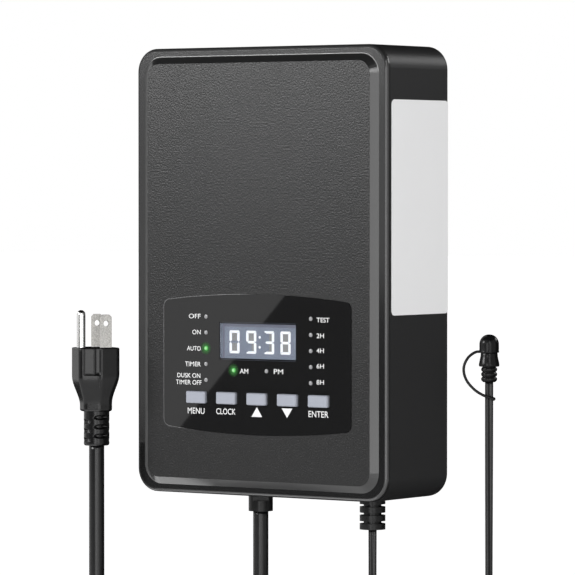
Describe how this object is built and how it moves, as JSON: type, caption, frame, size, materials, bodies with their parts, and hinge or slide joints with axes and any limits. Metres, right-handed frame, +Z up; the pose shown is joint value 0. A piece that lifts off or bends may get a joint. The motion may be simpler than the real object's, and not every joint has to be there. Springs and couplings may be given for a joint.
{
  "type": "low voltage landscape transformer",
  "caption": "Wall-hung low voltage garden lighting transformer with digital timer panel, coiled mains lead with plug, and a remote light sensor on its own lead.",
  "frame": {"origin": "centre of the rounded upper end of the hanger plate's keyhole slot, on the back plane that lies against the wall", "axes": "+Z up, +Y into the wall, front faces -Y, +X to the right as seen from the front"},
  "size_m": [0.251, 0.094, 0.3871],
  "materials": {
    "housing": "satin black moulded housing",
    "cover": "fine-textured dark grey moulded cover",
    "gasket": "black foam rubber",
    "screw_steel": "zinc-plated steel",
    "overlay": "glossy black panel overlay",
    "window": "clear blue-grey window",
    "display": "slate liquid crystal display",
    "led_clear": "clear indicator, unlit",
    "led_green": "green indicator, lit",
    "button": "light grey button",
    "switch": "black switch",
    "board": "green circuit board",
    "chip": "black chips and cell",
    "core_steel": "wound silicon steel core",
    "winding": "taped copper winding",
    "pad": "rubber pad",
    "relay": "relay base and coil",
    "armature": "relay armature",
    "relay_case": "blue relay case",
    "clip": "fuse clip",
    "fuse": "fuse glass and caps",
    "capacitor": "yellow film capacitor",
    "terminal": "black terminal block",
    "terminal_brass": "brass terminal bar",
    "lead_red": "red insulated lead",
    "lead_black": "black insulated lead",
    "ribbon": "grey ribbon cable",
    "gland": "black cord gland",
    "label": "blank light grey label",
    "plug": "black moulded plug",
    "blade": "nickel-plated brass blade",
    "pin": "bright nickel-plated pin",
    "cord": "black cord jacket",
    "tie": "black cord tie",
    "sensor_rubber": "black rubber",
    "photocell": "light-sensitive cell"
  },
  "bodies": {
    "box": {"rear_housing": "housing", "front_cover": "cover", "cover_gasket": "gasket", "cover_screws": "screw_steel", "control_overlay": "overlay", "display_window": "window", "display_module": "display", "indicator_leds": "led_clear", "indicator_leds_lit": "led_green", "tact_switches": "switch", "control_pcb": "board", "board_screws": "screw_steel", "control_chips": "chip", "toroid_core": "core_steel", "toroid_winding": "winding", "toroid_pads": "pad", "toroid_washer": "screw_steel", "toroid_bolt": "screw_steel", "toroid_nut": "screw_steel", "power_pcb": "board", "relay_base": "relay", "relay_cover": "relay_case", "fuse_clips": "clip", "fuse_tube": "fuse", "filter_capacitor": "capacitor", "terminal_block": "terminal", "terminal_bars": "terminal_brass", "ribbon_cable": "ribbon", "internal_leads": "lead_black", "secondary_leads": "lead_red", "mains_gland": "gland", "sensor_gland": "gland", "hanger_plate": "screw_steel", "rating_label": "label", "plug_body": "plug", "plug_blades": "blade", "plug_ground_pin": "pin", "mains_cord_drop": "cord", "mains_cord_coil": "cord", "mains_cord_rise": "cord", "mains_cord_tie": "tie", "sensor_cap": "sensor_rubber", "sensor_base": "sensor_rubber", "light_sensor": "photocell", "sensor_tether": "sensor_rubber", "sensor_cord_drop": "cord", "sensor_cord_coil": "cord", "sensor_cord_rise": "cord", "sensor_cord_tie": "tie"},
    "button_menu": {"button_menu": "button"},
    "button_clock": {"button_clock": "button"},
    "button_up": {"button_up": "button"},
    "button_down": {"button_down": "button"},
    "button_enter": {"button_enter": "button"},
    "clamp_a": {"terminal_clamp_a": "screw_steel"},
    "clamp_b": {"terminal_clamp_b": "screw_steel"},
    "screw_a": {"terminal_screw_a": "screw_steel"},
    "screw_b": {"terminal_screw_b": "screw_steel"},
    "relay_armature": {"relay_armature": "armature"}
  },
  "joints": [
    {"name": "press_menu", "type": "slide", "parent": "box", "child": "button_menu", "axis": [0, 1, 0], "range_m": [0, 0.0008], "stiffness_N_per_m": 1500, "springref_m": -0.0003},
    {"name": "press_clock", "type": "slide", "parent": "box", "child": "button_clock", "axis": [0, 1, 0], "range_m": [0, 0.0008], "stiffness_N_per_m": 1500, "springref_m": -0.0003},
    {"name": "press_up", "type": "slide", "parent": "box", "child": "button_up", "axis": [0, 1, 0], "range_m": [0, 0.0008], "stiffness_N_per_m": 1500, "springref_m": -0.0003},
    {"name": "press_down", "type": "slide", "parent": "box", "child": "button_down", "axis": [0, 1, 0], "range_m": [0, 0.0008], "stiffness_N_per_m": 1500, "springref_m": -0.0003},
    {"name": "press_enter", "type": "slide", "parent": "box", "child": "button_enter", "axis": [0, 1, 0], "range_m": [0, 0.0008], "stiffness_N_per_m": 1500, "springref_m": -0.0003},
    {"name": "clamp_a_open", "type": "slide", "parent": "box", "child": "clamp_a", "axis": [0, 0, -1], "range_m": [0, 0.003]},
    {"name": "screw_a_turn", "type": "hinge", "parent": "clamp_a", "child": "screw_a", "pos_m": [0.005, -0.03, -0.2], "axis": [0, 0, -1], "range_deg": [0, 1350]},
    {"name": "clamp_b_open", "type": "slide", "parent": "box", "child": "clamp_b", "axis": [0, 0, -1], "range_m": [0, 0.003]},
    {"name": "screw_b_turn", "type": "hinge", "parent": "clamp_b", "child": "screw_b", "pos_m": [0.027, -0.03, -0.2], "axis": [0, 0, -1], "range_deg": [0, 1350]},
    {"name": "armature_pull", "type": "hinge", "parent": "box", "child": "relay_armature", "pos_m": [-0.032, -0.0254, -0.1156], "axis": [1, 0, 0], "range_deg": [0, 2.5], "stiffness_Nm_per_rad": 0.3, "springref_deg": -1.15}
  ],
  "couplings": [
    {"joint": "screw_a_turn", "follows": "clamp_a_open", "rad_per_m": 7853.9},
    {"joint": "screw_b_turn", "follows": "clamp_b_open", "rad_per_m": 7853.9}
  ]
}
